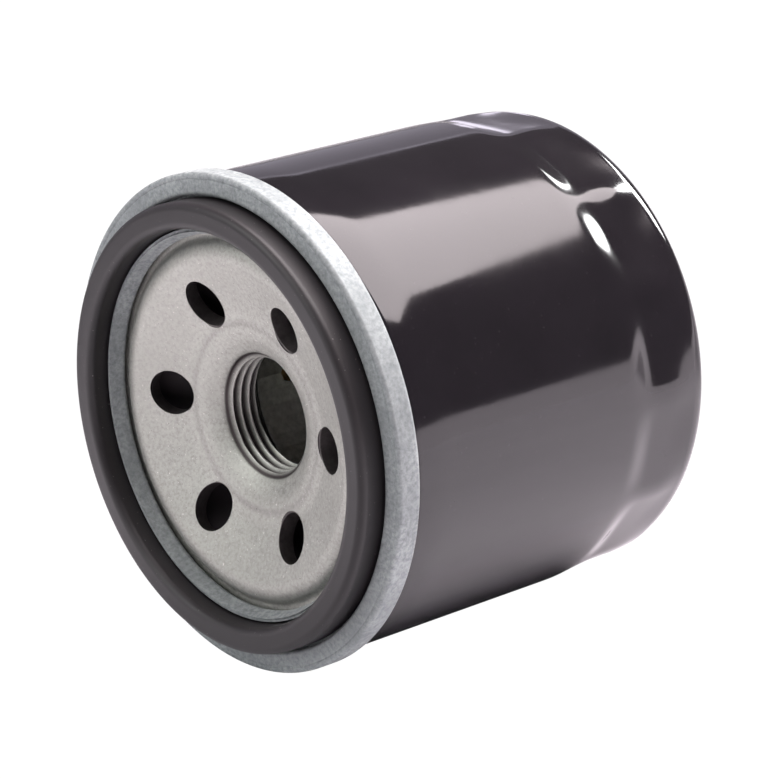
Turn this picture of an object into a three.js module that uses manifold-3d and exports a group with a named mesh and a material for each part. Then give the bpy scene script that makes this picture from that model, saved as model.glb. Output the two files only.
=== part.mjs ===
// Spin-on oil filter for a small engine, lying on its side.
// Millimetres, +Z up. The filter's axis is Y: its mounting face looks towards -Y and its closed end
// towards +Y. The origin is on the axis, in the plane of the gasket's sealing face.
// Profiles are given as [radius, height along the axis, fillet], the fillet being optional.
import * as THREE from "three";
import { mergeVertices } from "three/addons/utils/BufferGeometryUtils.js";
import Module from "manifold-3d";

const wasm = await Module();
wasm.setup();

// Driving dimensions
const OVERALL_LENGTH = 68;
const SEAM_RADIUS = 38;
const SEAM_END = 7.6;
const CAN_RADIUS = 36.98;
const CAN_SHEET = 0.5;
const CAN_HOOK_OUTER = 37.03;
const CAN_HOOK_INNER = 35.6;
const CAN_DRAWN_IN = 0.35;
const CAN_DRAWN_END = 14;
const LID_SHEET = 0.55;
const LID_HOOK_RADIUS = 36.35;
const PLATE_THICKNESS = 2.6;
const PLATE_RIM = 6.25;
const CAP_SHEET = 0.45;

// Wrench flats pressed into the closed end
const FLAT_COUNT = 14;
const FLAT_START = 51.6;
const FLAT_FULL = 55.5;
const FLAT_MIDDLE_RADIUS = 36.05;
const FLAT_FADE_START = 60;
const FLAT_FADE_END = 67;
const CLOSED_END_RADIUS = 36.3;
const FLAT_CORNER_FILLET = 8;
const FLAT_CORNER_ANGLE = 2.9;
const END_FILLET = 3.2;

// Gasket and the groove that holds it
const GASKET_INNER = 30.15;
const GASKET_OUTER = 34.2;
const GASKET_HEIGHT = 5.25;
const GASKET_CREST_FILLET = 1.1;
const GROOVE_FLOOR = 5.4;
const GROOVE_OUTER = 34.6;
const LIP_TOP = 3.3;

// 3/4-16 UNF thread in the drawn collar of the base plate
const THREAD_MAJOR = 9.53;
const THREAD_MINOR = 8.75;
const THREAD_PITCH = 1.5875;
const THREAD_TURNS = 3;
const THREAD_START = 10.4;
const COLLAR_OUTER = 11.6;
const COLLAR_END = 16;

// Oil inlet holes in the dished zone of the base plate
const INLET_COUNT = 6;
const INLET_CIRCLE = 18.6;
const INLET_ANGLE = 2;
const INLET_TILT = 20.6;
const INLET_RADIAL = 3.9;
const INLET_TANGENTIAL = 3.4;

// Filter element
const CAP_RADIUS = 31.6;
const FRONT_CAP = 18.85;
const REAR_CAP = 52.55;
const TUBE_OUTER = 13.7;
const TUBE_INNER = 13.2;
const MEDIA_START = 20.8;
const MEDIA_END = 50.6;
const MEDIA_OUTER = 30.4;
const MEDIA_INNER = 15.4;
const MEDIA_SHEET = 0.6;
const PLEAT_COUNT = 32;
const PLEAT_HALF_WIDTH = 1.2;

// Bypass valve
const SEAT_RADIUS = 6.3;
const SEAT_LIP = 50.6;
const PISTON_RADIUS = 8.2;
const STEM_RADIUS = 1.6;
const SPRING_RADIUS = 5.2;
const SPRING_WIRE = 0.55;
const SPRING_TURNS = 4.5;
const SPRING_FRONT = 39.9;
const SPRING_BACK = 47.7;

// Facets round the large rings; the shell's count is a multiple of the flats
const SHELL_SIDES = FLAT_COUNT * 3;
const RING_SIDES = 36;
const SMALL_SIDES = 24;
const SHELL_PHASE = THREE.MathUtils.degToRad(90 - FLAT_CORNER_ANGLE);

const paint = new THREE.MeshStandardMaterial({ color: 0x151416, roughness: 0.15, metalness: 0.0 });
const zinc = new THREE.MeshStandardMaterial({ color: 0xb3b5b2, roughness: 0.38, metalness: 0.9 });
const phosphated = new THREE.MeshStandardMaterial({ color: 0x9a9390, roughness: 0.55, metalness: 0.7 });
const nitrile = new THREE.MeshStandardMaterial({ color: 0x2b282b, roughness: 0.6, metalness: 0.0 });
const tinplate = new THREE.MeshStandardMaterial({ color: 0xa8a69e, roughness: 0.35, metalness: 0.9 });
const springSteel = new THREE.MeshStandardMaterial({ color: 0x77787c, roughness: 0.4, metalness: 0.9 });
const paper = new THREE.MeshStandardMaterial({ color: 0xc9a24e, roughness: 0.9, metalness: 0.0 });
const plastisol = new THREE.MeshStandardMaterial({ color: 0x7a2f26, roughness: 0.6, metalness: 0.0 });
const nylon = new THREE.MeshStandardMaterial({ color: 0x1d2a3a, roughness: 0.5, metalness: 0.0 });

// An open or closed run of corners with each fillet drawn as a short curve.
function filleted(corners, closed, steps = 1) {
  const points = [];
  corners.forEach(([r, y, fillet = 0], i) => {
    const here = new THREE.Vector2(r, y);
    const inner = closed || (i > 0 && i < corners.length - 1);
    if (!inner || fillet === 0) {
      points.push(here);
      return;
    }
    const before = corners[(i + corners.length - 1) % corners.length];
    const after = corners[(i + 1) % corners.length];
    const start = new THREE.Vector2(before[0], before[1]).sub(here).setLength(fillet).add(here);
    const end = new THREE.Vector2(after[0], after[1]).sub(here).setLength(fillet).add(here);
    points.push(...new THREE.QuadraticBezierCurve(start, here, end).getPoints(steps));
  });
  return points;
}

// Both faces of a sheet bent along a centre line, as one closed outline.
function sheetOutline(corners, thickness, steps = 1) {
  const line = filleted(corners, false, steps);
  const side = (sign) =>
    line.map((p, i) => {
      const before = line[Math.max(i - 1, 0)];
      const after = line[Math.min(i + 1, line.length - 1)];
      const into = (i > 0 ? p.clone().sub(before) : after.clone().sub(p)).normalize();
      const out = (i < line.length - 1 ? after.clone().sub(p) : p.clone().sub(before)).normalize();
      const normal = new THREE.Vector2(-into.y - out.y, into.x + out.x).normalize();
      const mitre = normal.dot(new THREE.Vector2(-into.y, into.x));
      return normal.multiplyScalar((sign * thickness) / 2 / mitre).add(p);
    });
  return [...side(1), ...side(-1).reverse()];
}

// Turns a closed outline round the Y axis, whichever way round it was drawn.
function turn(outline, sides = RING_SIDES, phase = 0) {
  const ordered = THREE.ShapeUtils.area(outline) > 0 ? outline : [...outline].reverse();
  return new THREE.LatheGeometry([...ordered, ordered[0].clone()], sides, phase, Math.PI * 2);
}

// The distance from the axis to a polygon with rounded corners, at an angle measured from a flat's middle.
function flattedRadius(fromMiddle) {
  const half = Math.PI / FLAT_COUNT;
  const inner = FLAT_MIDDLE_RADIUS - FLAT_CORNER_FILLET;
  const angle = Math.abs(fromMiddle);
  if (FLAT_MIDDLE_RADIUS * Math.tan(angle) <= inner * Math.tan(half)) return FLAT_MIDDLE_RADIUS / Math.cos(angle);
  const centre = inner / Math.cos(half);
  const across = centre * Math.sin(half - angle);
  return centre * Math.cos(half - angle) + Math.sqrt(FLAT_CORNER_FILLET ** 2 - across ** 2);
}

const turned = (corners, sides, phase) => turn(filleted(corners, true), sides, phase);
const turnedSheet = (corners, thickness, sides, phase) => turn(sheetOutline(corners, thickness), sides, phase);

// A profile whose first and last points lie on the axis.
function turnedSolid(corners, sides) {
  const points = filleted(corners, false);
  return new THREE.LatheGeometry(points, sides);
}

// A flat outline in X and Z, raised along Y from one height to another.
function raised(shape, from, to) {
  const geometry = new THREE.ExtrudeGeometry(shape, { depth: to - from, bevelEnabled: false, steps: 1 });
  return geometry.rotateX(-Math.PI / 2).translate(0, from, 0);
}

function toManifold(geometry) {
  const bare = geometry.clone();
  bare.deleteAttribute("normal");
  bare.deleteAttribute("uv");
  const merged = mergeVertices(bare, 1e-4);
  const mesh = new wasm.Mesh({
    numProp: 3,
    vertProperties: merged.attributes.position.array,
    triVerts: new Uint32Array(merged.index.array),
  });
  return new wasm.Manifold(mesh);
}

function toGeometry(manifold) {
  const mesh = manifold.getMesh();
  const geometry = new THREE.BufferGeometry();
  geometry.setAttribute("position", new THREE.BufferAttribute(mesh.vertProperties, 3));
  geometry.setIndex(new THREE.BufferAttribute(mesh.triVerts, 1));
  geometry.computeVertexNormals();
  return geometry;
}

const cut = (body, tools) =>
  toGeometry(tools.reduce((left, tool) => left.subtract(toManifold(tool)), toManifold(body)));
const join = (pieces) =>
  toGeometry(pieces.map(toManifold).reduce((whole, piece) => whole.add(piece)));

// Calls make(angle, index) for each of count places round the axis.
function around(count, startDegrees, make) {
  return Array.from({ length: count }, (_, i) =>
    make(THREE.MathUtils.degToRad(startDegrees) + (i * 2 * Math.PI) / count, i));
}

// Can: a drawn shell whose open end is hooked into the lid's seam
function canShell() {
  const body = CAN_RADIUS - CAN_SHEET / 2;
  const corner = flattedRadius(Math.PI / FLAT_COUNT) - CAN_SHEET / 2;
  const end = OVERALL_LENGTH - CAN_SHEET / 2;
  const half = sheetOutline(
    [
      [CAN_HOOK_OUTER, 7],
      [CAN_HOOK_OUTER, 5.25],
      [CAN_HOOK_INNER, 5],
      [CAN_HOOK_INNER, 8.2],
      [body - CAN_DRAWN_IN, 8.75],
      [body - CAN_DRAWN_IN * 0.3, 11.4],
      [body, CAN_DRAWN_END],
      [body, FLAT_START, 1.2],
      [corner, FLAT_FULL, 1.2],
      [corner, FLAT_FADE_START],
      [corner, end - 0.1, END_FILLET],
      [corner - 8, end],
      [0, end],
    ],
    CAN_SHEET,
    2,
  );
  // The outline's two ends meet the axis, so the far points are brought onto it.
  half.forEach((p) => {
    if (p.x < 0.5) p.x = 0;
  });
  const axisPoint = half.findIndex((p) => p.x === 0);
  const loop = [...half.slice(axisPoint + 1), ...half.slice(0, axisPoint + 1)];
  const ordered = THREE.ShapeUtils.area(loop) > 0 ? loop : loop.reverse();
  const shell = new THREE.LatheGeometry(ordered, SHELL_SIDES, SHELL_PHASE);
  return pressFlats(shell);
}

// Draws the closed end in from round to a polygon over the length of the neck, then back to round at the end.
function pressFlats(shell) {
  const position = shell.attributes.position;
  const pitch = (2 * Math.PI) / FLAT_COUNT;
  const cornerAngle = THREE.MathUtils.degToRad(FLAT_CORNER_ANGLE);
  for (let i = 0; i < position.count; i++) {
    const x = position.getX(i);
    const z = position.getZ(i);
    const turns = (Math.atan2(z, x) - cornerAngle) / pitch;
    const fromMiddle = (turns - Math.floor(turns) - 0.5) * pitch;
    const flat = flattedRadius(fromMiddle) / flattedRadius(pitch / 2);
    const round = CLOSED_END_RADIUS / flattedRadius(pitch / 2);
    const depth = THREE.MathUtils.smoothstep(position.getY(i), FLAT_START, FLAT_FULL);
    const fade = THREE.MathUtils.smoothstep(position.getY(i), FLAT_FADE_START, FLAT_FADE_END);
    const scale = 1 + (flat + (round - flat) * fade - 1) * depth;
    position.setX(i, x * scale);
    position.setZ(i, z * scale);
  }
  shell.computeVertexNormals();
  return shell;
}

// Lid: inner lip, groove floor and wall, then over the seam and hooked round the can's edge
function seamingLid() {
  const outer = SEAM_RADIUS - LID_SHEET / 2;
  const floor = GROOVE_FLOOR + LID_SHEET / 2;
  const wall = GROOVE_OUTER + LID_SHEET / 2;
  return turnedSheet(
    [
      [29.6, LIP_TOP],
      [28.75, floor],
      [wall, floor],
      [wall, 4.05, 0.25],
      [37.2, 4.25],
      [outer, 4.16, 0.2],
      [outer, SEAM_END, 0.5],
      [LID_HOOK_RADIUS, SEAM_END],
      [LID_HOOK_RADIUS, SEAM_END - 1],
    ],
    LID_SHEET,
    SHELL_SIDES,
    SHELL_PHASE,
  );
}

// Base plate: flat rim, raised ridge, dished zone with the inlets, and the threaded collar
function basePlate() {
  const thread = [];
  for (let turn = 0; turn < THREAD_TURNS; turn++) {
    const root = THREAD_START + (turn + 0.5) * THREAD_PITCH;
    thread.push([THREAD_MAJOR, root], [THREAD_MINOR, root + THREAD_PITCH / 2]);
  }
  const body = turned([
    [34.6, PLATE_RIM],
    [28, PLATE_RIM, 0.5],
    [26.9, 5, 0.7],
    [25.2, 4.7, 0.6],
    [16.2, 7.85],
    [12.6, 8.75, 1.3],
    [THREAD_MAJOR + 0.25, THREAD_START - 0.6, 0.6],
    [THREAD_MINOR, THREAD_START],
    ...thread,
    [THREAD_MAJOR, COLLAR_END],
    [COLLAR_OUTER, COLLAR_END],
    [COLLAR_OUTER, 12.2, 0.8],
    [16.4, 7.85 + PLATE_THICKNESS + 0.1],
    [25.3, 4.7 + PLATE_THICKNESS + 0.2, 0.8],
    [28.6, PLATE_RIM + PLATE_THICKNESS, 0.8],
    [34.6, PLATE_RIM + PLATE_THICKNESS],
  ], SHELL_SIDES, SHELL_PHASE);
  const tilt = THREE.MathUtils.degToRad(INLET_TILT);
  const punches = around(INLET_COUNT, INLET_ANGLE, (angle) =>
    new THREE.CylinderGeometry(1, 1, 12, 16)
      .scale(INLET_RADIAL, 1, INLET_TANGENTIAL)
      .rotateZ(-tilt)
      .translate(INLET_CIRCLE, 7.6, 0)
      .rotateY(-angle));
  return cut(body, punches);
}

function sealingGasket() {
  return turned([
    [GASKET_INNER, GASKET_HEIGHT],
    [GASKET_INNER, 0, GASKET_CREST_FILLET],
    [GASKET_OUTER, 0, GASKET_CREST_FILLET],
    [GASKET_OUTER, GASKET_HEIGHT],
  ]);
}

const seamingCompound = () =>
  turned([[35.5, 4.45], [36.7, 4.55], [36.7, 4.7], [35.5, 4.6]], SHELL_SIDES, SHELL_PHASE);

// Anti-drainback valve: a hub round the collar and a skirt that lies on the back of the plate
const drainbackValve = () =>
  turnedSheet([[12.6, 12.9], [12.6, 16.5, 0.9], [16.5, 16.5, 1.6], [28.4, 9.95, 1], [30.6, 9.7]], 1.2);

const frontEndCap = () =>
  turnedSheet([[14.3, 21.4], [14.3, FRONT_CAP, 0.4], [CAP_RADIUS, FRONT_CAP, 0.4], [CAP_RADIUS, 22]], CAP_SHEET);

const rearEndCap = () =>
  turnedSheet([[CAP_RADIUS, 49.4], [CAP_RADIUS, REAR_CAP, 0.4], [10.2, REAR_CAP]], CAP_SHEET);

const pottingRing = (inner, from, to) =>
  turned([[inner, from], [31.15, from], [31.15, to], [inner, to]]);

// Centre tube: rolled steel, with staggered rows of round holes
function centreTube() {
  const rows = 4;
  const holesPerRow = 6;
  const holeRadius = 1.9;
  const firstRow = 26;
  const rowPitch = 6.4;
  const tube = turned([[TUBE_INNER, 19.4], [TUBE_OUTER, 19.4], [TUBE_OUTER, 52.1], [TUBE_INNER, 52.1]], RING_SIDES);
  const drills = [];
  for (let row = 0; row < rows; row++) {
    const stagger = (row % 2) * (180 / holesPerRow);
    drills.push(...around(holesPerRow, stagger, (angle) =>
      new THREE.CylinderGeometry(holeRadius, holeRadius, 4, 8)
        .rotateZ(Math.PI / 2)
        .translate(TUBE_OUTER, 0, 0)
        .rotateY(angle)
        .translate(0, firstRow + row * rowPitch, 0)));
  }
  return cut(tube, drills);
}

// One boundary of the folded sheet: flat folds alternating between two radii.
function pleatPath(PathClass, tipRadius, tipHalf, rootRadius, rootHalf) {
  const path = new PathClass();
  around(PLEAT_COUNT, 0, (angle, i) => {
    const next = angle + Math.PI / PLEAT_COUNT;
    const corners = [
      [tipRadius, angle - tipHalf / tipRadius],
      [tipRadius, angle + tipHalf / tipRadius],
      [rootRadius, next - rootHalf / rootRadius],
      [rootRadius, next + rootHalf / rootRadius],
    ];
    corners.forEach(([r, a], k) => {
      const place = [r * Math.cos(a), r * Math.sin(a)];
      if (i === 0 && k === 0) path.moveTo(...place);
      else path.lineTo(...place);
    });
  });
  path.closePath();
  return path;
}

function filterMedia() {
  const tip = PLEAT_HALF_WIDTH;
  const root = 0.35;
  const shape = pleatPath(THREE.Shape, MEDIA_OUTER, tip, MEDIA_INNER + MEDIA_SHEET, root);
  shape.holes.push(
    pleatPath(THREE.Path, MEDIA_OUTER - MEDIA_SHEET, tip - MEDIA_SHEET, MEDIA_INNER, root + MEDIA_SHEET));
  return raised(shape, MEDIA_START, MEDIA_END);
}

// Clip that holds the two ends of the paper together at one fold
function mediaSeamClip() {
  const gap = 0.2;
  const inner = PLEAT_HALF_WIDTH + gap;
  const outer = inner + CAP_SHEET;
  const shape = new THREE.Shape([
    new THREE.Vector2(26.5, inner),
    new THREE.Vector2(MEDIA_OUTER + gap, inner),
    new THREE.Vector2(MEDIA_OUTER + gap, -inner),
    new THREE.Vector2(26.5, -inner),
    new THREE.Vector2(26.5, -outer),
    new THREE.Vector2(MEDIA_OUTER + gap + CAP_SHEET, -outer),
    new THREE.Vector2(MEDIA_OUTER + gap + CAP_SHEET, outer),
    new THREE.Vector2(26.5, outer),
  ]);
  return raised(shape, 22.4, 49);
}

const bypassSeat = () =>
  turnedSheet([[SEAT_RADIUS, SEAT_LIP], [SEAT_RADIUS, 51.95], [12.7, 51.95]], CAP_SHEET, SMALL_SIDES);

const bypassPiston = () =>
  turnedSolid([
    [0, 37.4],
    [STEM_RADIUS - 0.3, 37.4],
    [STEM_RADIUS, 37.8],
    [STEM_RADIUS, 48.3],
    [PISTON_RADIUS, 48.3],
    [PISTON_RADIUS, 49.75],
    [0, 49.75],
  ], SMALL_SIDES);

const bypassSeal = () =>
  turned([[4.2, 49.9], [8, 49.9], [8, 50.4], [4.2, 50.4]], SMALL_SIDES);

// Helical spring with its ends closed flat
function bypassSpring() {
  class Helix extends THREE.Curve {
    getPoint(t, target = new THREE.Vector3()) {
      const angle = t * SPRING_TURNS * 2 * Math.PI;
      const rise = THREE.MathUtils.smoothstep(t, 0, 1) * 0.35 + t * 0.65;
      const y = SPRING_FRONT + (SPRING_BACK - SPRING_FRONT) * rise;
      return target.set(SPRING_RADIUS * Math.cos(angle), y, SPRING_RADIUS * Math.sin(angle));
    }
  }
  const section = new THREE.Shape();
  section.absarc(0, 0, SPRING_WIRE, 0, 2 * Math.PI);
  return new THREE.ExtrudeGeometry(section, {
    steps: Math.round(SPRING_TURNS * 12),
    curveSegments: 3,
    extrudePath: new Helix(),
  });
}

// Cage: a cup with four windows that carries the spring and guides the piston's stem
function bypassCage() {
  const wall = 10.9;
  const cup = turnedSheet([[2.3, 39], [wall, 39, 0.8], [wall, 51.25], [12.7, 51.25]], CAP_SHEET, SMALL_SIDES);
  const windows = around(2, 45, (angle) => new THREE.BoxGeometry(30, 6.5, 7).translate(0, 46, 0).rotateY(angle));
  return cut(cup, windows);
}

// Element spring: four bowed leaves on a ring, pressing on the closed end of the can
function supportSpring() {
  const sheet = 0.7;
  const ring = turnedSheet([[8, 53.5], [17.5, 53.5]], sheet);
  const leaf = new THREE.Shape(
    sheetOutline([[15, 53.5], [19.5, 53.5, 3], [26.8, 65.4, 1.6], [30, 64.6]], sheet, 4));
  const leaves = around(4, 20, (angle) =>
    new THREE.ExtrudeGeometry(leaf, { depth: 9, bevelEnabled: false, steps: 1 })
      .translate(0, 0, -4.5)
      .rotateY(-angle));
  return join([ring, ...leaves]);
}

const pieces = [
  ["can", canShell(), paint],
  ["seaming_lid", seamingLid(), zinc],
  ["seaming_compound", seamingCompound(), nitrile],
  ["base_plate", basePlate(), phosphated],
  ["sealing_gasket", sealingGasket(), nitrile],
  ["anti_drainback_valve", drainbackValve(), nitrile],
  ["front_end_cap", frontEndCap(), tinplate],
  ["front_potting", pottingRing(14.8, 19.3, 20.6), plastisol],
  ["filter_media", filterMedia(), paper],
  ["media_seam_clip", mediaSeamClip(), tinplate],
  ["centre_tube", centreTube(), tinplate],
  ["rear_potting", pottingRing(14.2, 50.8, 52.1), plastisol],
  ["rear_end_cap", rearEndCap(), tinplate],
  ["bypass_seat", bypassSeat(), tinplate],
  ["bypass_cage", bypassCage(), tinplate],
  ["bypass_spring", bypassSpring(), springSteel],
  ["bypass_piston", bypassPiston(), nylon],
  ["bypass_seal", bypassSeal(), nitrile],
  ["support_spring", supportSpring(), springSteel],
];

const filter = new THREE.Group();
pieces.forEach(([name, geometry, material]) => {
  const mesh = new THREE.Mesh(geometry, material);
  mesh.name = name;
  filter.add(mesh);
});

export default filter;
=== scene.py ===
# Small-engine oil filter: the looks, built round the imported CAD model
import bpy
import bmesh
import math
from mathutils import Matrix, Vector


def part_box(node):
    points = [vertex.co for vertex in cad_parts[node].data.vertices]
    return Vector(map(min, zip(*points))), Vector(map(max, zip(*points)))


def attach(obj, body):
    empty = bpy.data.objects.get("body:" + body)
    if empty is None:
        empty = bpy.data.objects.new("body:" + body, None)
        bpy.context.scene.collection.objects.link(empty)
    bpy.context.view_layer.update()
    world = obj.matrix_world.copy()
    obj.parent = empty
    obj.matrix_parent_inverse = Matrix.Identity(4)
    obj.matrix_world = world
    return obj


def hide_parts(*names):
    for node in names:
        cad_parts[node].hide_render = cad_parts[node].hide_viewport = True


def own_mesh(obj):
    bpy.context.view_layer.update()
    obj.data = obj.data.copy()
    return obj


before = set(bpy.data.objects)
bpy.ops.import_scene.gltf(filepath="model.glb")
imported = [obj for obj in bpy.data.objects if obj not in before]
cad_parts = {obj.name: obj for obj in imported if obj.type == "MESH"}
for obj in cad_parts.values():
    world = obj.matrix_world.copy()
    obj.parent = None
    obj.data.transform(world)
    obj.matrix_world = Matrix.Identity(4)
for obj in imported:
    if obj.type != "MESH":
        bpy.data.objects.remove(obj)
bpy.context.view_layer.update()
mm = 0.001
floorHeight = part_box("seaming_lid")[0].z  # the filter lies on its seam


# Turning a profile into a ring

def unit(v):
    length = math.hypot(v[0], v[1])
    return (v[0] / length, v[1] / length)


def heading(a, b):
    return unit((b[0] - a[0], b[1] - a[1]))


# the arc that rounds one corner; reach is how far from the corner it starts and ends
def cornerArc(before, here, after, reach, steps):
    back = heading(here, before)
    ahead = heading(here, after)
    between = math.acos(max(-1, min(1, back[0] * ahead[0] + back[1] * ahead[1])))
    nearlyStraight = math.pi - 0.01
    if between > nearlyStraight:
        return [here]
    bisector = unit((back[0] + ahead[0], back[1] + ahead[1]))
    toCentre = reach / math.cos(between / 2)
    centre = (here[0] + bisector[0] * toCentre, here[1] + bisector[1] * toCentre)
    start = (here[0] + back[0] * reach - centre[0], here[1] + back[1] * reach - centre[1])
    end = (here[0] + ahead[0] * reach - centre[0], here[1] + ahead[1] * reach - centre[1])
    sweep = math.pi - between
    arc = []
    for k in range(steps + 1):
        t = k / steps
        a = math.sin((1 - t) * sweep) / math.sin(sweep)
        b = math.sin(t * sweep) / math.sin(sweep)
        arc.append((centre[0] + a * start[0] + b * end[0], centre[1] + a * start[1] + b * end[1]))
    return arc


# corners are (radius, height) or (radius, height, reach of its round) in mm
def roundedPath(corners, closed, arcSteps, longest):
    runs = []
    count = len(corners)
    for i, corner in enumerate(corners):
        here = corner[:2]
        isEnd = not closed and i in (0, count - 1)
        if len(corner) == 2 or isEnd:
            runs.append([here])
        else:
            runs.append(cornerArc(corners[i - 1], here, corners[(i + 1) % count], corner[2], arcSteps))
    path = []
    lastRun = count if closed else count - 1
    for i in range(count):
        path.extend(runs[i])
        if i < lastRun:
            path.extend(straightRun(runs[i][-1], runs[(i + 1) % count][0], longest))
    return path


# points between two ends: one close to each end, so that flats stay flat under smooth shading
def straightRun(a, b, longest, hold=0.12):
    length = math.hypot(b[0] - a[0], b[1] - a[1])
    if length < hold * 4:
        return []
    pieces = max(1, math.ceil(length / longest))
    stops = [hold / length] + [k / pieces for k in range(1, pieces)] + [1 - hold / length]
    return [(a[0] + (b[0] - a[0]) * t, a[1] + (b[1] - a[1]) * t) for t in stops]


# both faces of a bent sheet, from its centre line
def sheetPath(corners, thickness, arcSteps, longest, roundEnds=True):
    line = roundedPath(corners, False, arcSteps, longest)
    last = len(line) - 1
    sides = []
    for sign in (1, -1):
        side = []
        for i, p in enumerate(line):
            into = heading(line[max(i - 1, 0)], line[max(i, 1)])
            out = heading(line[min(i, last - 1)], line[min(i + 1, last)])
            normal = unit((-into[1] - out[1], into[0] + out[0]))
            mitre = normal[0] * -into[1] + normal[1] * into[0]
            step = sign * thickness / 2 / mitre
            side.append((p[0] + normal[0] * step, p[1] + normal[1] * step))
        sides.append(side)
    front, back = sides
    if not roundEnds:
        return front + back[::-1]
    return front + endCap(front[-1], back[-1]) + back[::-1] + endCap(back[0], front[0])


# a shallow rounded edge from one face of a sheet to the other
def endCap(a, b, bulge=0.55, steps=5):
    middle = ((a[0] + b[0]) / 2, (a[1] + b[1]) / 2)
    half = ((a[0] - b[0]) / 2, (a[1] - b[1]) / 2)
    outward = (-half[1] * bulge, half[0] * bulge)
    cap = []
    for k in range(1, steps):
        turn = math.pi * k / steps
        c, s = math.cos(turn), math.sin(turn)
        cap.append((middle[0] + half[0] * c + outward[0] * s, middle[1] + half[1] * c + outward[1] * s))
    return cap


def newPiece(name, mesh, material, smoothAngle=None):
    piece = bpy.data.objects.new(name, mesh)
    bpy.context.scene.collection.objects.link(piece)
    mesh.polygons.foreach_set("use_smooth", [True] * len(mesh.polygons))
    if smoothAngle is not None:
        mesh.set_sharp_from_angle(angle=math.radians(smoothAngle))
    mesh.materials.append(material)
    return piece


# turns a closed outline round the Y axis; shape(r, y, angle) may move a point
def turnedMesh(name, outline, turns, shape=None):
    verts = []
    for i in range(turns):
        angle = 2 * math.pi * i / turns
        for r, y in outline:
            if shape:
                r, y = shape(r, y, angle)
            verts.append((r * math.cos(angle) * mm, y * mm, r * math.sin(angle) * mm))
    count = len(outline)
    faces = []
    for i in range(turns):
        for j in range(count):
            a = i * count + j
            b = i * count + (j + 1) % count
            c = ((i + 1) % turns) * count + (j + 1) % count
            d = ((i + 1) % turns) * count + j
            faces.append((a, b, c, d))
    mesh = bpy.data.meshes.new(name)
    mesh.from_pydata(verts, [], faces)
    bm = bmesh.new()
    bm.from_mesh(mesh)
    bmesh.ops.remove_doubles(bm, verts=bm.verts, dist=1e-7)
    bmesh.ops.recalc_face_normals(bm, faces=bm.faces)
    bm.to_mesh(mesh)
    bm.free()
    return mesh


# joins rings of points into a tube with closed ends
def skinRings(bm, rings):
    bm.faces.new(rings[0])
    bm.faces.new(rings[-1])
    count = len(rings[0])
    for low, high in zip(rings, rings[1:]):
        for k in range(count):
            following = (k + 1) % count
            bm.faces.new((low[k], low[following], high[following], high[k]))


def meshFrom(bm, name):
    bmesh.ops.recalc_face_normals(bm, faces=bm.faces)
    mesh = bpy.data.meshes.new(name)
    bm.to_mesh(mesh)
    bm.free()
    return mesh


def smoothStep(value, low, high):
    t = max(0.0, min(1.0, (value - low) / (high - low)))
    return t * t * (3 - 2 * t)


# Materials

def newMaterial(name):
    material = bpy.data.materials.new(name)
    material.use_nodes = True
    return material, material.node_tree.nodes, material.node_tree.links


def addNode(nodes, kind, **inputs):
    node = nodes.new(kind)
    for key, value in inputs.items():
        node.inputs[key.replace("_", " ")].default_value = value
    return node


def addMath(nodes, links, operation, a, b=None):
    node = nodes.new("ShaderNodeMath")
    node.operation = operation
    for socket, value in zip(node.inputs, (a, b)):
        if value is None:
            continue
        if isinstance(value, (int, float)):
            socket.default_value = value
        else:
            links.new(value, socket)
    return node.outputs[0]


# the piece's own coordinates, the same unrolled (along the turn, along the axis, outward), and the radius
def placeCoords(nodes, links, unrollRadius=0.03):
    place = nodes.new("ShaderNodeTexCoord").outputs["Object"]
    split = nodes.new("ShaderNodeSeparateXYZ")
    links.new(place, split.inputs[0])
    angle = addMath(nodes, links, "ARCTAN2", split.outputs["Z"], split.outputs["X"])
    xx = addMath(nodes, links, "MULTIPLY", split.outputs["X"], split.outputs["X"])
    zz = addMath(nodes, links, "MULTIPLY", split.outputs["Z"], split.outputs["Z"])
    radius = addMath(nodes, links, "SQRT", addMath(nodes, links, "ADD", xx, zz))
    unrolled = nodes.new("ShaderNodeCombineXYZ")
    links.new(addMath(nodes, links, "MULTIPLY", angle, unrollRadius), unrolled.inputs["X"])
    links.new(split.outputs["Y"], unrolled.inputs["Y"])
    links.new(radius, unrolled.inputs["Z"])
    return {"place": place, "unrolled": unrolled.outputs[0], "radius": radius}


def addNoise(nodes, links, coords, scale, detail, stretch=None, roughness=0.55):
    if stretch:
        mapping = nodes.new("ShaderNodeMapping")
        mapping.inputs["Scale"].default_value = stretch
        links.new(coords, mapping.inputs["Vector"])
        coords = mapping.outputs[0]
    noise = addNode(nodes, "ShaderNodeTexNoise", Scale=scale, Detail=detail, Roughness=roughness)
    links.new(coords, noise.inputs["Vector"])
    return noise.outputs["Fac"]


def addRamp(nodes, links, value, stops):
    ramp = nodes.new("ShaderNodeValToRGB")
    for element, (place, colour) in zip(ramp.color_ramp.elements, stops):
        element.position = place
        element.color = (*colour, 1)
    links.new(value, ramp.inputs["Fac"])
    return ramp.outputs["Color"]


# carries a value from one range (low, high) to another, and holds it at the ends
def addRange(nodes, links, value, before, after):
    node = nodes.new("ShaderNodeMapRange")
    links.new(value, node.inputs["Value"])
    limits = {"From Min": before[0], "From Max": before[1], "To Min": after[0], "To Max": after[1]}
    for key, number in limits.items():
        node.inputs[key].default_value = number
    return node.outputs[0]


def addMix(nodes, links, share, a, b):
    node = nodes.new("ShaderNodeMix")
    node.data_type = "RGBA"
    for socket, value in ((node.inputs[0], share), (node.inputs[6], a), (node.inputs[7], b)):
        if isinstance(value, tuple):
            socket.default_value = (*value, 1)
        else:
            links.new(value, socket)
    return node.outputs[2]


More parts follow.
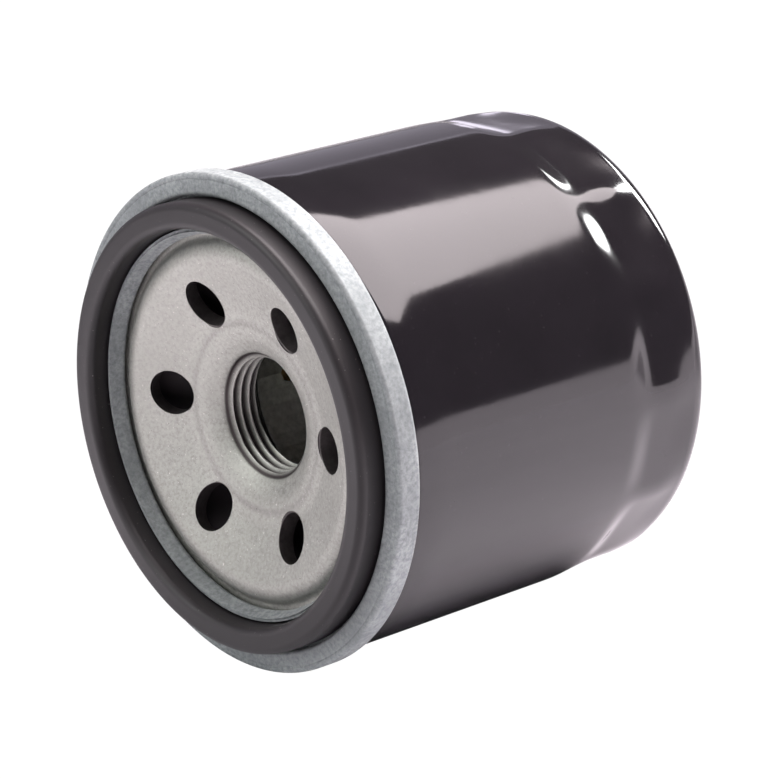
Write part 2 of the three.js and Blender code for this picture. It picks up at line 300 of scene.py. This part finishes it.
# heights are (value, strength, depth in mm), each laid over the one before
def addBump(nodes, links, shader, heights):
    last = None
    for height, strength, depth in heights:
        bump = addNode(nodes, "ShaderNodeBump", Strength=strength, Distance=depth * mm)
        links.new(height, bump.inputs["Height"])
        if last:
            links.new(last, bump.inputs["Normal"])
        last = bump.outputs[0]
    links.new(last, shader.inputs["Normal"])


def shadeOf(colour, times):
    return tuple(c * times for c in colour)


def blackPaint():
    look = {
        "colour": (0.010, 0.0085, 0.0105), "patchy": 1.5, "polished": 0.075, "smudged": 0.14,
        "wave": 0.04, "peel": 0.035, "dust": 0.25, "dustColour": (0.16, 0.15, 0.15),
    }
    material, nodes, links = newMaterial("gloss black paint")
    shader = nodes["Principled BSDF"]
    coords = placeCoords(nodes, links)
    shader.inputs["IOR"].default_value = 1.52
    patches = addNoise(nodes, links, coords["place"], scale=45, detail=4)
    stops = [(0.3, look["colour"]), (0.75, shadeOf(look["colour"], look["patchy"]))]
    tint = addRamp(nodes, links, patches, stops)
    dust = addNoise(nodes, links, coords["place"], scale=2600, detail=2)
    specks = addRange(nodes, links, dust, (0.7, 0.8), (0, look["dust"]))
    links.new(addMix(nodes, links, specks, tint, look["dustColour"]), shader.inputs["Base Color"])
    smudge = addNoise(nodes, links, coords["place"], scale=70, detail=5)
    roughness = addRange(nodes, links, smudge, (0.35, 0.75), (look["polished"], look["smudged"]))
    links.new(roughness, shader.inputs["Roughness"])
    peel = addNoise(nodes, links, coords["place"], scale=520, detail=2)
    wave = addNoise(nodes, links, coords["unrolled"], scale=60, detail=1, stretch=(1, 0.35, 1))
    addBump(nodes, links, shader, [(wave, look["wave"], 0.5), (peel, look["peel"], 0.12)])
    return material


def zincPlate():
    look = {
        "light": (0.55, 0.58, 0.58), "dark": (0.27, 0.295, 0.30), "clouds": 0.45,
        "smooth": 0.76, "rough": 0.88, "drawn": 0.12, "grain": 0.16,
    }
    material, nodes, links = newMaterial("zinc plated steel")
    shader = nodes["Principled BSDF"]
    coords = placeCoords(nodes, links)
    shader.inputs["Metallic"].default_value = 1.0
    grain = addNoise(nodes, links, coords["place"], scale=1300, detail=5, roughness=0.7)
    clouds = addNoise(nodes, links, coords["place"], scale=130, detail=4)
    colour = addRamp(nodes, links, grain, [(0.3, look["dark"]), (0.62, look["light"])])
    dulled = addRange(nodes, links, clouds, (0.35, 0.7), (0, look["clouds"]))
    links.new(addMix(nodes, links, dulled, colour, look["dark"]), shader.inputs["Base Color"])
    roughness = addRange(nodes, links, grain, (0.3, 0.7), (look["smooth"], look["rough"]))
    links.new(roughness, shader.inputs["Roughness"])
    drawn = addNoise(nodes, links, coords["unrolled"], scale=900, detail=3, stretch=(0.03, 1, 1))
    addBump(nodes, links, shader, [(drawn, look["drawn"], 0.05), (grain, look["grain"], 0.05)])
    return material


# full between the two middle radii and fading out at both sides; the four radii are in mm
def addRing(nodes, links, radius, edges, strength):
    rise = addRange(nodes, links, radius, (edges[0] * mm, edges[1] * mm), (0, strength))
    fall = addRange(nodes, links, radius, (edges[2] * mm, edges[3] * mm), (1, 0))
    return addMath(nodes, links, "MULTIPLY", rise, fall)


def plateSteel():
    look = {
        "light": (0.48, 0.485, 0.45), "dark": (0.30, 0.30, 0.275), "clouds": 0.4,
        "smooth": 0.42, "rough": 0.66, "clouded": 0.1, "grain": 0.2,
        "pit": (0.09, 0.08, 0.078), "glint": (0.85, 0.82, 0.8), "speckle": 0.7,
        # colours and radii for painted shade in the thread roots and a painted highlight on the thread crests
        "root": (0.07, 0.06, 0.06), "rootRadii": (8.95, 9.4, 9.6, 9.8),
        "crestHighlightColour": (0.78, 0.76, 0.73), "crestHighlightRadii": (8.75, 8.88),
        # radii and strength of a faint ring of painted shade round the foot of the collar
        "collarShadeRadii": (13.7, 14.3, 14.5, 15.4), "collarShadeStrength": 0.22,
    }
    material, nodes, links = newMaterial("base plate steel")
    shader = nodes["Principled BSDF"]
    coords = placeCoords(nodes, links)
    radius = coords["radius"]
    shader.inputs["Metallic"].default_value = 0.9
    grain = addNoise(nodes, links, coords["place"], scale=1900, detail=4, roughness=0.7)
    clouds = addNoise(nodes, links, coords["place"], scale=90, detail=5)
    colour = addRamp(nodes, links, grain, [(0.32, look["dark"]), (0.6, look["light"])])
    dulled = addRange(nodes, links, clouds, (0.4, 0.75), (0, look["clouds"]))
    colour = addMix(nodes, links, dulled, colour, look["dark"])
    pitNoise = addNoise(nodes, links, coords["place"], scale=3800, detail=1)
    pits = addRange(nodes, links, pitNoise, (0.70, 0.76), (0, look["speckle"]))
    colour = addMix(nodes, links, pits, colour, look["pit"])
    glintNoise = addNoise(nodes, links, coords["place"], scale=3100, detail=1)
    glints = addRange(nodes, links, glintNoise, (0.71, 0.77), (0, look["speckle"]))
    colour = addMix(nodes, links, glints, colour, look["glint"])
    # the thread: painted shade in the roots and a painted highlight on the crests
    roots = addRing(nodes, links, radius, look["rootRadii"], 1)
    colour = addMix(nodes, links, roots, colour, look["root"])
    highlightStart, highlightEnd = look["crestHighlightRadii"]
    crestHighlight = addRange(nodes, links, radius, (highlightStart * mm, highlightEnd * mm), (1, 0))
    colour = addMix(nodes, links, crestHighlight, colour, look["crestHighlightColour"])
    # faint ring of painted shade round the foot of the collar
    mark = addRing(nodes, links, radius, look["collarShadeRadii"], look["collarShadeStrength"])
    links.new(addMix(nodes, links, mark, colour, look["root"]), shader.inputs["Base Color"])
    roughness = addRange(nodes, links, grain, (0.3, 0.7), (look["smooth"], look["rough"]))
    links.new(roughness, shader.inputs["Roughness"])
    addBump(nodes, links, shader, [(clouds, look["clouded"], 0.2), (grain, look["grain"], 0.05)])
    return material


def rubber(name, colour, roughness):
    look = {"smeared": 1.6, "rougher": 0.16, "dust": 0.5, "dustColour": (0.25, 0.23, 0.22)}
    material, nodes, links = newMaterial(name)
    shader = nodes["Principled BSDF"]
    coords = placeCoords(nodes, links)
    grain = addNoise(nodes, links, coords["place"], scale=2200, detail=4, roughness=0.7)
    smear = addNoise(nodes, links, coords["unrolled"], scale=160, detail=4, stretch=(0.12, 1, 1))
    tint = addRamp(nodes, links, smear, [(0.3, colour), (0.75, shadeOf(colour, look["smeared"]))])
    dust = addNoise(nodes, links, coords["place"], scale=2400, detail=1)
    specks = addRange(nodes, links, dust, (0.74, 0.8), (0, look["dust"]))
    links.new(addMix(nodes, links, specks, tint, look["dustColour"]), shader.inputs["Base Color"])
    finish = addRange(nodes, links, smear, (0.3, 0.7), (roughness, roughness + look["rougher"]))
    links.new(finish, shader.inputs["Roughness"])
    addBump(nodes, links, shader, [(smear, 0.15, 0.1), (grain, 0.12, 0.04)])
    return material


def plainMetal(name, colour, roughness, grainScale=900):
    look = {"darker": 0.7, "rougher": 0.15, "grain": 0.1}
    material, nodes, links = newMaterial(name)
    shader = nodes["Principled BSDF"]
    coords = placeCoords(nodes, links)
    shader.inputs["Metallic"].default_value = 1.0
    grain = addNoise(nodes, links, coords["place"], grainScale, detail=4, roughness=0.65)
    tint = addRamp(nodes, links, grain, [(0.35, shadeOf(colour, look["darker"])), (0.65, colour)])
    links.new(tint, shader.inputs["Base Color"])
    finish = addRange(nodes, links, grain, (0.3, 0.7), (roughness, roughness + look["rougher"]))
    links.new(finish, shader.inputs["Roughness"])
    addBump(nodes, links, shader, [(grain, look["grain"], 0.03)])
    return material


def filterPaper():
    look = {"light": (0.66, 0.45, 0.19), "dark": (0.48, 0.30, 0.11), "roughness": 0.9, "fibre": 0.35}
    material, nodes, links = newMaterial("resin treated paper")
    shader = nodes["Principled BSDF"]
    place = placeCoords(nodes, links)["place"]
    fibres = addNoise(nodes, links, place, scale=1500, detail=6, stretch=(1, 0.4, 1), roughness=0.75)
    tint = addRamp(nodes, links, fibres, [(0.35, look["dark"]), (0.65, look["light"])])
    links.new(tint, shader.inputs["Base Color"])
    shader.inputs["Roughness"].default_value = look["roughness"]
    addBump(nodes, links, shader, [(fibres, look["fibre"], 0.06)])
    return material


def mouldedPlastic(name, colour, roughness):
    look = {"darker": 0.8, "rougher": 0.12, "grain": 0.12}
    material, nodes, links = newMaterial(name)
    shader = nodes["Principled BSDF"]
    coords = placeCoords(nodes, links)
    grain = addNoise(nodes, links, coords["place"], scale=1100, detail=3)
    tint = addRamp(nodes, links, grain, [(0.3, shadeOf(colour, look["darker"])), (0.7, colour)])
    links.new(tint, shader.inputs["Base Color"])
    finish = addRange(nodes, links, grain, (0.3, 0.7), (roughness, roughness + look["rougher"]))
    links.new(finish, shader.inputs["Roughness"])
    addBump(nodes, links, shader, [(grain, look["grain"], 0.04)])
    return material


paint = blackPaint()
zinc = zincPlate()
plate = plateSteel()
# darker metal for the inlet holes' walls: painted shade inside the holes
inletWallShade = plainMetal("inlet wall shade", (0.16, 0.145, 0.145), 0.5, 1600)
gasketRubber = rubber("gasket rubber", (0.009, 0.0075, 0.0085), 0.38)
valveRubber = rubber("valve rubber", (0.045, 0.038, 0.042), 0.5)
compound = rubber("seaming compound", (0.42, 0.34, 0.22), 0.7)
tinplate = plainMetal("tinplate", (0.66, 0.66, 0.63), 0.3)
springSteel = plainMetal("spring steel", (0.30, 0.30, 0.32), 0.32)
paper = filterPaper()
potting = mouldedPlastic("potting", (0.33, 0.055, 0.035), 0.45)
nylon = mouldedPlastic("nylon", (0.03, 0.04, 0.07), 0.4)
print("materials ready")

# Can: drawn shell, hooked into the seam in front, with wrench flats pressed into its closed end

canShape = {
    "radius": 36.98, "sheet": 0.5, "length": 68.0, "endRadius": 36.3, "endRound": 3.2,
    "flats": 14, "cornerAngle": 2.9, "flatMiddle": 36.05, "cornerRound": 8.0, "sectionsPerFlat": 24,
    "neckStart": 50.8, "neckEnd": 55.8, "fadeStart": 59.5, "fadeEnd": 67.0,
    "hookOuter": 37.03, "hookInner": 35.6, "hookFront": 5.0, "hookEnd": 7.0,
    "seamDraw": 0.4, "seamDrawStart": 8.4, "seamDrawEnd": 14.5, "seamDrawReach": 6.0,
}


# distance from the axis to a polygon with rounded corners, by the angle from a flat's middle
def flattedRadius(fromMiddle):
    half = math.pi / canShape["flats"]
    middle, corner = canShape["flatMiddle"], canShape["cornerRound"]
    angle = abs(fromMiddle)
    if middle * math.tan(angle) <= (middle - corner) * math.tan(half):
        return middle / math.cos(angle)
    centre = (middle - corner) / math.cos(half)
    across = centre * math.sin(half - angle)
    return centre * math.cos(half - angle) + math.sqrt(corner ** 2 - across ** 2)


def pressFlats(r, y, angle):
    s = canShape
    pitch = 2 * math.pi / s["flats"]
    turns = (angle - math.radians(s["cornerAngle"])) / pitch
    fromMiddle = (turns - math.floor(turns) - 0.5) * pitch
    corner = flattedRadius(pitch / 2)
    flat = flattedRadius(fromMiddle) / corner
    # round again at the closed end
    flat += (s["endRadius"] / corner - flat) * smoothStep(y, s["fadeStart"], s["fadeEnd"])
    depth = smoothStep(y, s["neckStart"], s["neckEnd"])
    # drawn in towards the seam
    if y > s["seamDrawStart"]:
        r -= s["seamDraw"] * max(0, (s["seamDrawEnd"] - y) / s["seamDrawReach"]) ** 2
    return r * (1 + (flat - 1) * depth), y


def makeCan():
    s = canShape
    half = s["sheet"] / 2
    body = s["radius"] - half
    corner = flattedRadius(math.pi / s["flats"]) - half
    end = s["length"] - half
    line = [
        (s["hookOuter"], s["hookEnd"]), (s["hookOuter"], s["hookFront"] + 0.25, 0.35),
        (s["hookInner"], s["hookFront"], 0.35), (s["hookInner"], 8.2, 0.3), (body, 8.7, 0.3),
        (body, s["neckStart"] + 0.6, 2.0), (corner, s["neckEnd"] - 0.4, 1.6),
        (corner, end - 0.1, s["endRound"]), (corner - 8, end, 3.0), (0.0, end),
    ]
    outline = sheetPath(line, s["sheet"], 8, 1.0, roundEnds=False)
    outline = [(0.0 if r < 0.3 else r, y) for r, y in outline]  # both faces close on the axis
    mesh = turnedMesh("canBody", outline, s["flats"] * s["sectionsPerFlat"], pressFlats)
    can = newPiece("canBody", mesh, paint)
    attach(can, "housing")
    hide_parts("can")


makeCan()
print("can made")

# Lid: gasket groove, inner lip and the folded seam

lidShape = {
    "outer": 38.0, "sheet": 0.55, "turns": 288, "grooveFloor": 5.4, "grooveOuter": 34.6,
    "lipRadius": 28.78, "lipTop": 3.25, "seamFront": 4.16, "seamBack": 7.6, "hookRadius": 36.35,
    "hookEnd": 6.6, "rollMark": 37.02, "rollMarkDepth": 0.14,
}


def makeLid():
    s = lidShape
    half = s["sheet"] / 2
    outer = s["outer"] - half
    floor = s["grooveFloor"] + half
    wall = s["grooveOuter"] + half
    front, back, mark = s["seamFront"], s["seamBack"], s["rollMark"]
    line = [
        (29.6, s["lipTop"]), (s["lipRadius"], floor, 0.45), (wall, floor, 0.5), (wall, 3.98, 0.3),
        (mark - 0.22, front, 0.12), (mark, front + s["rollMarkDepth"], 0.1), (mark + 0.23, 4.14, 0.1),
        (outer, front, 0.26), (outer, back, 0.5), (s["hookRadius"], back, 0.3),
        (s["hookRadius"], s["hookEnd"]),
    ]
    mesh = turnedMesh("seamedLid", sheetPath(line, s["sheet"], 7, 1.5), s["turns"])
    lid = newPiece("seamedLid", mesh, zinc)
    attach(lid, "housing")
    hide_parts("seaming_lid")


makeLid()
print("lid made")

# Gasket

gasketShape = {"inner": 30.15, "outer": 34.2, "height": 5.25, "crestHighlightColour": 1.15, "backEdge": 0.3, "turns": 256}


def makeGasket():
    s = gasketShape
    corners = [
        (s["inner"], s["height"], s["backEdge"]), (s["inner"], 0.0, s["crestHighlightColour"]),
        (s["outer"], 0.0, s["crestHighlightColour"]), (s["outer"], s["height"], s["backEdge"]),
    ]
    mesh = turnedMesh("gasketRing", roundedPath(corners, True, 8, 1.2), s["turns"])
    gasket = newPiece("gasketRing", mesh, gasketRubber)
    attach(gasket, "housing")
    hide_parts("sealing_gasket")


makeGasket()
print("gasket made")

# Base plate: ridge, dish with six inlets, threaded collar

plateShape = {
    "rim": 6.25, "rimRadius": 34.6, "thickness": 2.6, "turns": 240,
    "threadMajor": 9.53, "threadMinor": 8.75, "pitch": 1.5875, "threadStart": 10.4, "threadRows": 84,
    "crestWidth": 0.12, "flankWidth": 0.7, "mouthSlope": 1.3, "backSlope": 1.5,
    "collarRadius": 11.6, "collarEnd": 16.0,
    "inlets": 6, "inletCircle": 18.6, "inletDepth": 6.95, "inletTilt": 20.6, "inletAngle": 2.0,
    "inletRadial": 3.9, "inletTangential": 3.4, "edgeRound": 0.22, "inletSides": 72,
}


# right-hand thread, fading out at both ends of the collar
def threadShape(r, y, angle):
    s = plateShape
    if r > s["threadMajor"] + 0.01 or not s["threadStart"] <= y <= s["collarEnd"]:
        return r, y
    turn = (y / s["pitch"] + angle / (2 * math.pi)) % 1.0
    slope = abs(2 * turn - 1)
    groove = max(0.0, min(1.0, (slope - s["crestWidth"]) / s["flankWidth"]))
    mouth = s["threadMajor"] + 0.1 - (y - s["threadStart"]) * s["mouthSlope"]
    back = s["threadMajor"] - (s["collarEnd"] - y) * s["backSlope"]
    thread = s["threadMinor"] + (s["threadMajor"] - s["threadMinor"]) * groove
    return max(thread, mouth, back), y


def makePlate():
    s = plateShape
    rows = s["threadRows"]
    collarLength = s["collarEnd"] - s["threadStart"]
    bore = [(s["threadMinor"], s["threadStart"] + collarLength * k / rows) for k in range(rows + 1)]
    front = roundedPath([
        (s["rimRadius"], s["rim"]), (27.9, s["rim"], 0.55), (26.8, 4.95, 0.75), (25.1, 4.7, 0.8),
        (16.3, 8.0, 1.0), (12.7, 8.55, 1.6), (9.9, s["threadStart"] - 0.4, 0.5), (9.6, s["threadStart"]),
    ], False, 8, 0.9)
    back = roundedPath([
        (s["collarRadius"], s["collarEnd"]), (s["collarRadius"], 12.2, 0.9), (16.4, 10.55, 1.2),
        (25.3, 7.5, 0.9), (28.6, s["rim"] + s["thickness"], 0.9), (s["rimRadius"], s["rim"] + s["thickness"]),
    ], False, 5, 2.0)
    body = newPiece("basePlate", turnedMesh("basePlate", front + bore + back, s["turns"], threadShape), plate)
    punchInlets(body)
    body.data.set_sharp_from_angle(angle=math.radians(50))
    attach(body, "housing")
    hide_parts("base_plate")


# one oval punch, square to the dish; it widens in front so that it leaves the hole's edge rounded
def addPunch(bm, inlet):
    s = plateShape
    edge = s["edgeRound"]
    profile = [(edge, -4.0), (edge, 0.0)]  # how much wider, how deep
    for k in range(1, 6):
        turn = math.pi * k / 10
        profile.append((edge * (1 - math.sin(turn)), edge * (1 - math.cos(turn))))
    profile.append((0.0, 8.0))
    tilt = math.radians(s["inletTilt"])
    around = math.radians(s["inletAngle"]) + 2 * math.pi * inlet / s["inlets"]
    outward = Vector((math.cos(around), 0, math.sin(around)))
    sideways = Vector((-math.sin(around), 0, math.cos(around)))
    inward = outward * math.sin(tilt) + Vector((0, math.cos(tilt), 0))
    uphill = outward * math.cos(tilt) - Vector((0, math.sin(tilt), 0))
    centre = outward * s["inletCircle"] + Vector((0, s["inletDepth"], 0))
    rings = []
    for grow, depth in profile:
        ring = []
        for k in range(s["inletSides"]):
            a = 2 * math.pi * k / s["inletSides"]
            p = centre + inward * depth
            p += uphill * (s["inletRadial"] + grow) * math.cos(a)
            p += sideways * (s["inletTangential"] + grow) * math.sin(a)
            ring.append(bm.verts.new(p * mm))
        rings.append(ring)
    skinRings(bm, rings)


def punchInlets(body):
    # the holes' walls take the darker metal: painted shade inside them
    body.data.materials.append(inletWallShade)
    bm = bmesh.new()
    for inlet in range(plateShape["inlets"]):
        addPunch(bm, inlet)
    mesh = meshFrom(bm, "punches")
    mesh.materials.append(inletWallShade)
    punches = bpy.data.objects.new("punches", mesh)
    bpy.context.scene.collection.objects.link(punches)
    cutter = body.modifiers.new("inlets", "BOOLEAN")
    cutter.operation = "DIFFERENCE"
    cutter.solver = "EXACT"
    cutter.material_mode = "TRANSFER"
    cutter.object = punches
    bpy.context.view_layer.update()
    made = bpy.data.meshes.new_from_object(body.evaluated_get(bpy.context.evaluated_depsgraph_get()))
    body.modifiers.clear()
    body.data = made
    bpy.data.objects.remove(punches)


makePlate()
print("base plate made")

# Springs

springShape = {
    "coilRadius": 5.2, "wireRadius": 0.55, "turns": 4.5, "front": 39.9, "back": 47.7,
    "sides": 14, "steps": 48, "endCrowding": 0.35, "coilFront": 39.35, "coilKeep": 0.545,
    "leafEnd": 66.0, "leafKeep": 0.936,
}


def makeBypassSpring():
    s = springShape
    count = round(s["turns"] * s["steps"])
    bm = bmesh.new()
    rings = []
    for k in range(count + 1):
        t = k / count
        angle = 2 * math.pi * s["turns"] * t
        # coils lie closer at both ends
        rise = s["endCrowding"] * smoothStep(t, 0, 1) + (1 - s["endCrowding"]) * t
        outward = Vector((math.cos(angle), 0, math.sin(angle)))
        centre = outward * s["coilRadius"] + Vector((0, s["front"] + (s["back"] - s["front"]) * rise, 0))
        ring = []
        for side in range(s["sides"]):
            a = 2 * math.pi * side / s["sides"]
            p = centre + (outward * math.cos(a) + Vector((0, math.sin(a), 0))) * s["wireRadius"]
            ring.append(bm.verts.new(p * mm))
        rings.append(ring)
    skinRings(bm, rings)
    coil = newPiece("bypassCoil", meshFrom(bm, "bypassCoil"), springSteel, 40)
    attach(coil, "element")
    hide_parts("bypass_spring")
    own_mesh(coil)


def makeSupportSpring():
    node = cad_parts["support_spring"]
    mesh = node.data.copy()
    mesh.materials.clear()
    leaves = newPiece("supportLeaves", mesh, springSteel, 30)
    leaves.matrix_world = node.matrix_world.copy()
    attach(leaves, "housing")
    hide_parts("support_spring")
    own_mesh(leaves)


makeBypassSpring()
makeSupportSpring()
print("springs made")

# Other inside pieces keep their CAD shape and take their own finish

insideLooks = {
    "seaming_compound": compound, "anti_drainback_valve": valveRubber, "front_end_cap": tinplate,
    "front_potting": potting, "filter_media": paper, "media_seam_clip": tinplate, "centre_tube": tinplate,
    "rear_potting": potting, "rear_end_cap": tinplate, "bypass_seat": tinplate, "bypass_cage": tinplate,
    "bypass_piston": nylon, "bypass_seal": valveRubber,
}
for nodeName, material in insideLooks.items():
    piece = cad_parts[nodeName]
    piece.data.materials.clear()
    piece.data.materials.append(material)
print("inside pieces dressed")

# Floor, light and camera: places are in metres

floorLook = {
    # near, far and frontDrop set the floor's painted light and shade
    "size": 6.0, "near": 0.92, "far": 0.36, "tint": (0.97, 0.95, 1.0), "slant": 0.8,
    "slantFade": (-0.14, -0.03), "frontDrop": 0.5, "frontFade": (-0.03, 0.03), "rightFade": (-0.06, 0.02),
    "patchScale": 40, "patches": (0.97, 1.03), "seenWhite": 1.05, "seenShare": 0.97,
}
studio = {
    "surround": 0.08, "seenWhite": 1.05, "softbox": 7.8, "fill": 3.0, "front": 3.0, "tableGlow": 2.3,
    "backdrop": 0.5, "backdropEdge": 1.1, "topGlint": 2.4, "lamp": 26.0,
    "warm": (1.0, 0.91, 0.93), "mauve": (1.0, 0.91, 0.97), "cool": (0.92, 0.86, 1.0),
}


def glowMaterial(name, strength, colour):
    material, nodes, links = newMaterial(name)
    nodes.clear()
    glow = addNode(nodes, "ShaderNodeEmission", Strength=strength, Color=(*colour, 1))
    output = nodes.new("ShaderNodeOutputMaterial")
    links.new(glow.outputs[0], output.inputs["Surface"])
    return material


# a flat glowing card with four given corners, never seen directly; diffuse lets it light matt faces too
def lightCard(name, corners, strength, colour=(1, 1, 1), diffuse=False):
    mesh = bpy.data.meshes.new(name)
    mesh.from_pydata(corners, [], [(0, 1, 2, 3)])
    card = bpy.data.objects.new(name, mesh)
    mesh.materials.append(glowMaterial(name, strength, colour))
    bpy.context.scene.collection.objects.link(card)
    card.visible_camera = False
    card.visible_shadow = False
    card.visible_diffuse = diffuse


# mixes two shaders, the second one for what the camera sees directly
def addSeenMix(nodes, links, share, unseen, seen, output):
    path = nodes.new("ShaderNodeLightPath")
    mix = nodes.new("ShaderNodeMixShader")
    links.new(addMath(nodes, links, "MULTIPLY", path.outputs["Is Camera Ray"], share), mix.inputs[0])
    links.new(unseen.outputs[0], mix.inputs[1])
    links.new(seen.outputs[0], mix.inputs[2])
    links.new(mix.outputs[0], output.inputs["Surface"])


def makeWorld():
    world = bpy.data.worlds.new("studio")
    bpy.context.scene.world = world
    world.use_nodes = True
    nodes, links = world.node_tree.nodes, world.node_tree.links
    nodes.clear()
    dark = addNode(nodes, "ShaderNodeBackground", Color=(1, 0.98, 0.99, 1), Strength=studio["surround"])
    white = addNode(nodes, "ShaderNodeBackground", Color=(1, 1, 1, 1), Strength=studio["seenWhite"])
    addSeenMix(nodes, links, 1.0, dark, white, nodes.new("ShaderNodeOutputWorld"))


# painted light and shade in the floor's colour, mostly seen in reflections and in the light it throws back:
# pale under the filter, darker beyond it and again between it and the camera
def floorMaterial():
    look = floorLook
    material, nodes, links = newMaterial("pale floor")
    nodes.clear()
    place = nodes.new("ShaderNodeTexCoord").outputs["Object"]
    split = nodes.new("ShaderNodeSeparateXYZ")
    links.new(place, split.inputs[0])
    x, y = split.outputs["X"], split.outputs["Y"]
    slant = addMath(nodes, links, "SUBTRACT", x, addMath(nodes, links, "MULTIPLY", y, look["slant"]))
    shade = addRange(nodes, links, slant, look["slantFade"], (look["far"], look["near"]))
    inFront = addRange(nodes, links, y, look["frontFade"], (1, 0))
    toRight = addRange(nodes, links, x, look["rightFade"], (0, look["frontDrop"]))
    drop = addMath(nodes, links, "MULTIPLY", inFront, toRight)
    shade = addMath(nodes, links, "SUBTRACT", shade, drop)
    patchNoise = addNoise(nodes, links, place, look["patchScale"], detail=3)
    patches = addRange(nodes, links, patchNoise, (0.3, 0.7), look["patches"])
    shade = addMath(nodes, links, "MULTIPLY", shade, patches)
    matt = addNode(nodes, "ShaderNodeBsdfDiffuse")
    links.new(addMix(nodes, links, shade, (0, 0, 0), look["tint"]), matt.inputs["Color"])
    bright = addNode(nodes, "ShaderNodeEmission", Strength=look["seenWhite"])
    addSeenMix(nodes, links, look["seenShare"], matt, bright, nodes.new("ShaderNodeOutputMaterial"))
    return material


def makeFloor():
    half = floorLook["size"] / 2
    mesh = bpy.data.meshes.new("floor")
    corners = [(-half, -half), (half, -half), (half, half), (-half, half)]
    mesh.from_pydata([(x, y, floorHeight) for x, y in corners], [], [(0, 1, 2, 3)])
    floor = bpy.data.objects.new("floor", mesh)
    bpy.context.scene.collection.objects.link(floor)
    mesh.materials.append(floorMaterial())


def areaLight(name, centre, size, target, radiance, glossy=True):
    data = bpy.data.lights.new(name, "AREA")
    data.shape = "RECTANGLE"
    data.size, data.size_y = size
    data.energy = radiance * math.pi * size[0] * size[1]
    light = bpy.data.objects.new(name, data)
    bpy.context.scene.collection.objects.link(light)
    light.location = centre
    light.rotation_euler = (Vector(target) - Vector(centre)).to_track_quat("-Z", "Y").to_euler()
    light.visible_glossy = glossy
    light.visible_camera = False


# corners of an upright card that faces along X
def standingCard(x, nearY, farY, bottom, top):
    return [(x, nearY, bottom), (x, farY, bottom), (x, farY, top), (x, nearY, top)]


def makeLights():
    s = studio
    middle = (0, 0.03, 0)
    # overhead softbox, one corner pointing away: the broad band along the can
    far = Vector((-0.03, 0.94, 0.75))
    right = Vector((0.886, -0.464, 0)) * 0.8
    left = Vector((-0.447, -0.894, 0)) * 0.95
    softbox = [far, far + right, far + right + left, far + left]
    lightCard("softbox", softbox, s["softbox"], s["warm"], diffuse=True)
    areaLight("fill", (0.3, -0.5, 1.5), (1.4, 1.4), middle, s["fill"], glossy=False)
    areaLight("front", (-0.5, -1.0, 0.7), (1.0, 1.0), middle, s["front"])
    # pale table to the right, turned up a little at its far side
    table = [(0.3, -1.2, -0.036), (1.6, -1.2, 0.04), (1.6, 3.0, 0.04), (0.3, 3.0, -0.036)]
    lightCard("table", table, s["tableGlow"], s["mauve"], diffuse=True)
    # backdrop to the left with a brighter top edge, and a strip in front of it
    lightCard("backdrop", standingCard(-1.2, -0.8, 2.6, -0.5, 0.62), s["backdrop"], s["cool"])
    lightCard("backdropEdge", standingCard(-1.2, -0.8, 2.6, 0.62, 0.67), s["backdropEdge"], s["cool"])
    lightCard("topGlint", standingCard(-1.19, 1.12, 1.22, -0.03, 0.32), s["topGlint"], s["cool"])
    # small bright lamp far behind: the hard glints on the neck
    lamp = [(-0.60, 1.5, 0.98), (0.05, 1.5, 0.40), (0.32, 1.5, 0.82), (0.02, 1.5, 1.34)]
    lightCard("lamp", lamp, s["lamp"])


def makeCamera():
    view = {
        "azimuth": 49.03, "elevation": 20.0, "distance": 0.500, "lens": 153.312, "sensor": 36,
        "target": (6.99, 28.75, 1.69),
    }
    data = bpy.data.cameras.new("camera")
    camera = bpy.data.objects.new("camera", data)
    bpy.context.scene.collection.objects.link(camera)
    azimuth = math.radians(view["azimuth"])
    elevation = math.radians(view["elevation"])
    level = math.cos(elevation)
    back = Vector((math.sin(azimuth) * level, -math.cos(azimuth) * level, math.sin(elevation)))
    camera.location = Vector(view["target"]) * mm + back * view["distance"]
    camera.rotation_euler = back.to_track_quat("Z", "Y").to_euler()
    data.sensor_width = view["sensor"]
    data.lens = view["lens"]
    data.clip_start = 0.01
    bpy.context.scene.camera = camera


makeWorld()
makeFloor()
makeLights()
makeCamera()
bpy.context.scene.view_settings.view_transform = "Standard"
print("studio ready")
